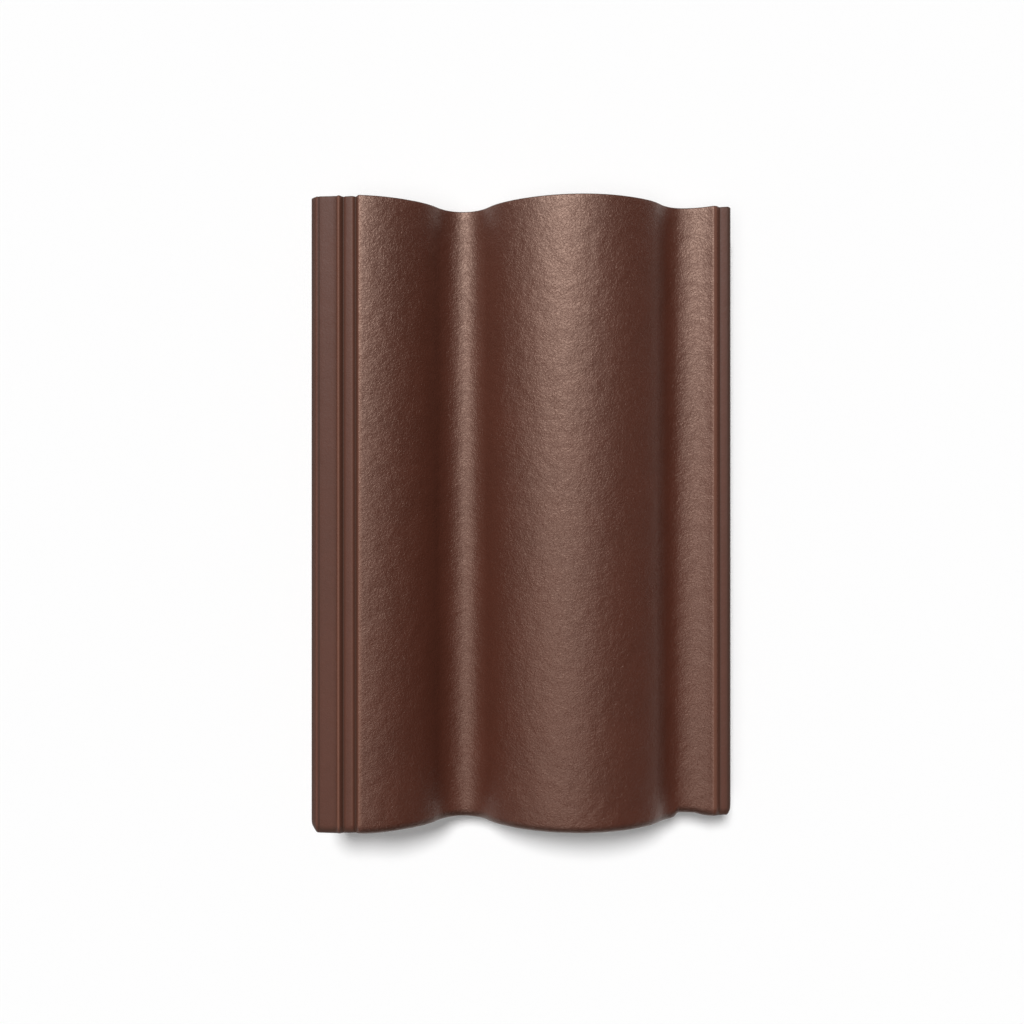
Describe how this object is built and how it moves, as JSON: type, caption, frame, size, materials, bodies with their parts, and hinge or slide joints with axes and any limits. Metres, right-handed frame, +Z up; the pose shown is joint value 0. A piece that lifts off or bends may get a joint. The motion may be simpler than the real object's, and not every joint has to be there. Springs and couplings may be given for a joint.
{
  "type": "double-roll interlocking roof tile",
  "caption": "Brown coated concrete roof tile with rolls and valleys along its length, a side lap strip with water channels, batten nibs and a weather bar.",
  "frame": {"origin": "middle of the tile's plan outline, on the floor that its nibs and weather bar rest on", "axes": "+X across the rolls, from the side lap strip to the plain strip; +Y along the rolls, from the nose to the head; +Z up, out of the face"},
  "size_m": [0.2818, 0.42, 0.0535],
  "materials": {
    "coated_concrete": "brown acrylic coating over extruded fine-grained concrete, satin"
  },
  "bodies": {
    "root": {"roof_tile": "coated_concrete"}
  },
  "joints": []
}
